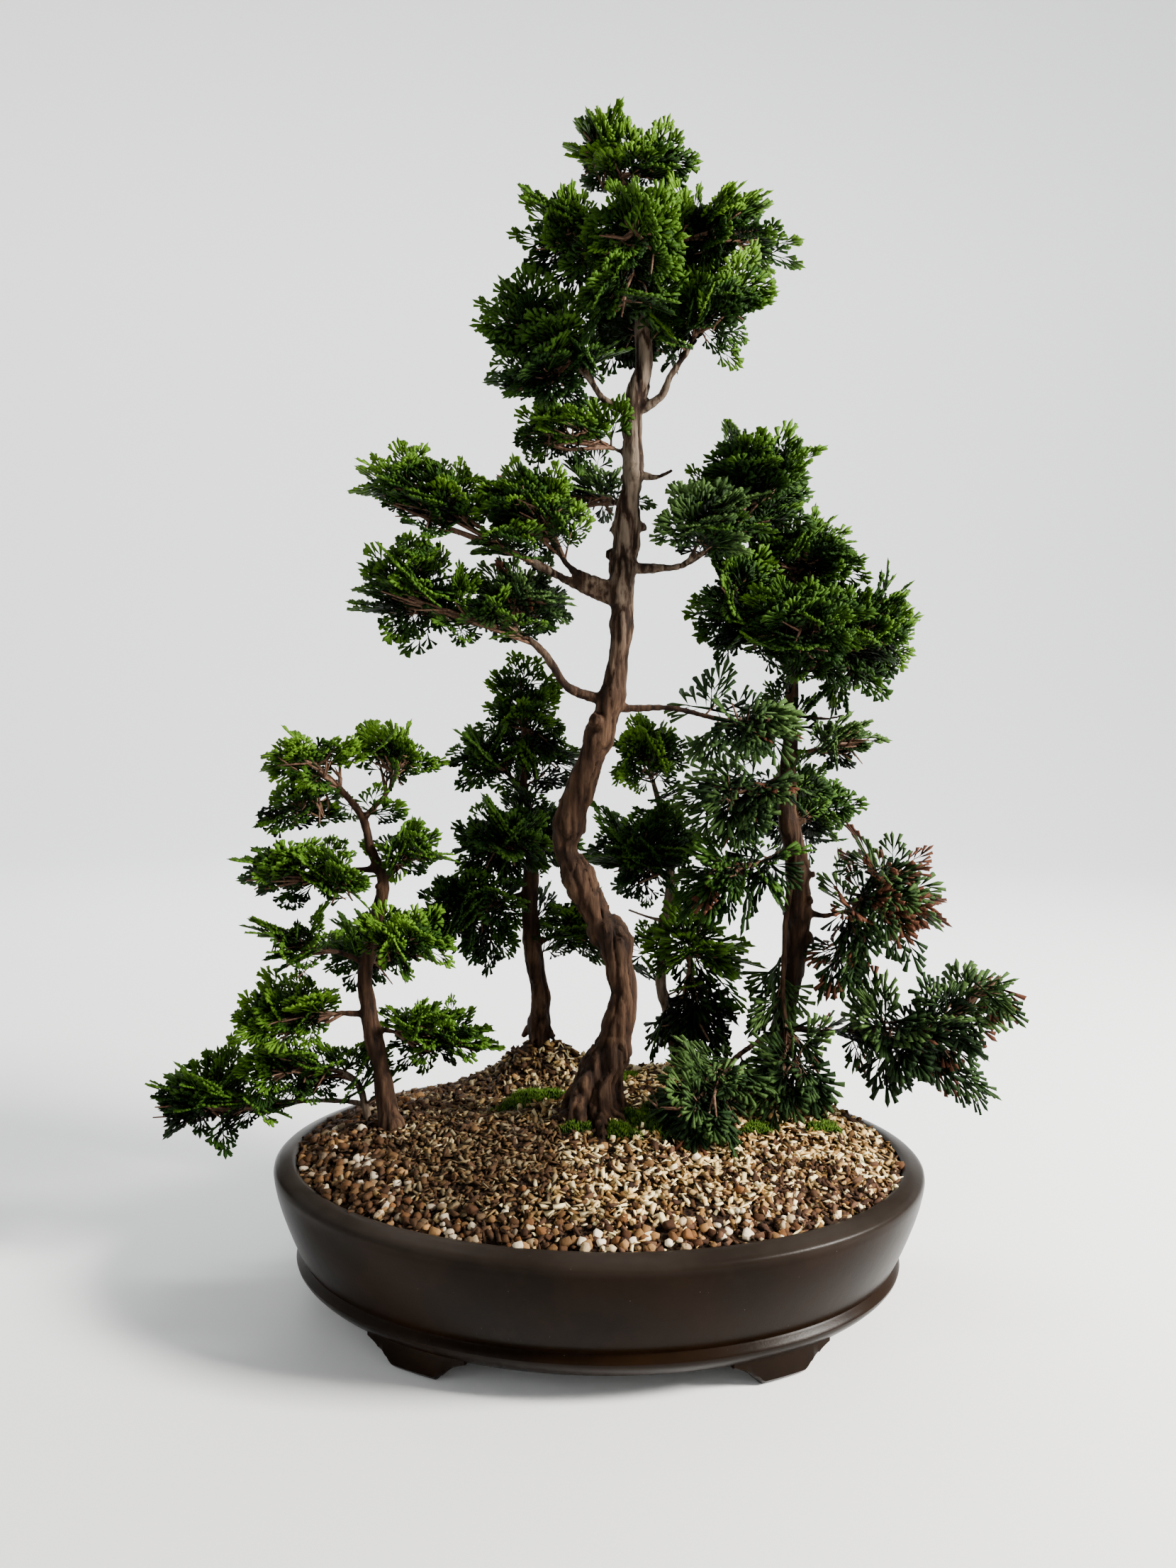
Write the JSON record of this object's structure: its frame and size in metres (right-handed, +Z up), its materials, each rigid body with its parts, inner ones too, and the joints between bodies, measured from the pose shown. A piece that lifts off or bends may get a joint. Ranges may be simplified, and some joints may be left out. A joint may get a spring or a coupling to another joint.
{
  "type": "hinoki cypress forest bonsai",
  "caption": "Forest planting of small cypress trees with sinuous trunks and flat fans of scale leaves, rooted in a mound of grit in an oval stoneware pot on cloud feet.",
  "frame": {"origin": "centre of the object's bounding box, on the surface that the pot's feet stand on", "axes": "+Z up, +X to the right of a viewer who faces the front, +Y away from that viewer"},
  "size_m": [0.5568, 0.3234, 0.7502],
  "materials": {
    "stoneware": "matte unglazed",
    "grit": "loose dry granules",
    "drain_mesh": "matte",
    "bark": "fibrous reddish brown bark",
    "grey_bark": "fibrous grey brown bark",
    "foliage_green": "living scale leaves, satin",
    "foliage_bright": "young scale leaves, satin",
    "foliage_dark": "shaded scale leaves, satin",
    "foliage_grey": "grey green scale leaves, satin"
  },
  "bodies": {
    "root": {"pot": "stoneware", "soil": "grit", "drain_screen_left": "drain_mesh", "drain_screen_right": "drain_mesh", "main_tree": "bark", "right_tree": "bark", "back_right_tree": "grey_bark", "back_left_tree": "bark", "left_tree": "bark", "young_stem": "grey_bark", "frond_main_tree": "foliage_bright", "frond_crown_left": "foliage_green", "frond_crown_front": "foliage_green", "frond_crown_right": "foliage_bright", "frond_crown_back": "foliage_dark", "frond_low_right": "foliage_bright", "frond_lobe_left": "foliage_dark", "frond_tufts_left": "foliage_green", "frond_a_inner": "foliage_grey", "frond_a_mid": "foliage_bright", "frond_a_left": "foliage_bright", "frond_b_left": "foliage_green", "frond_b_mid": "foliage_grey", "frond_c_top": "foliage_green", "frond_c_low": "foliage_grey", "frond_d_end": "foliage_grey", "frond_right_tree": "foliage_green", "frond_r_crown_left": "foliage_green", "frond_r_crown_right": "foliage_bright", "frond_r_crown_front": "foliage_green", "frond_r_crown_back": "foliage_dark", "frond_r_fan_right": "foliage_grey", "frond_r_left_up": "foliage_grey", "frond_r_left_low": "foliage_dark", "frond_r_back_mid": "foliage_dark", "frond_r_right_mid": "foliage_grey", "frond_r_low_right": "foliage_grey", "frond_r_low_centre": "foliage_grey", "frond_r_front_droop": "foliage_grey", "frond_back_right_tree": "foliage_bright", "frond_br_mid": "foliage_dark", "frond_br_low_right": "foliage_green", "frond_back_left_tree": "foliage_green", "frond_bl_left": "foliage_dark", "frond_bl_mid": "foliage_dark", "frond_bl_back": "foliage_dark", "frond_bl_low_left": "foliage_dark", "frond_bl_low_right": "foliage_green", "frond_left_tree": "foliage_bright", "frond_l_top_right": "foliage_bright", "frond_l_third": "foliage_green", "frond_l_right_up": "foliage_green", "frond_l_fourth": "foliage_green", "frond_l_bright": "foliage_bright", "frond_l_back": "foliage_dark", "frond_l_right_low": "foliage_green", "frond_l_low_left": "foliage_bright", "frond_young_stem": "foliage_green", "frond_l_lowest": "foliage_green"}
  },
  "joints": []
}
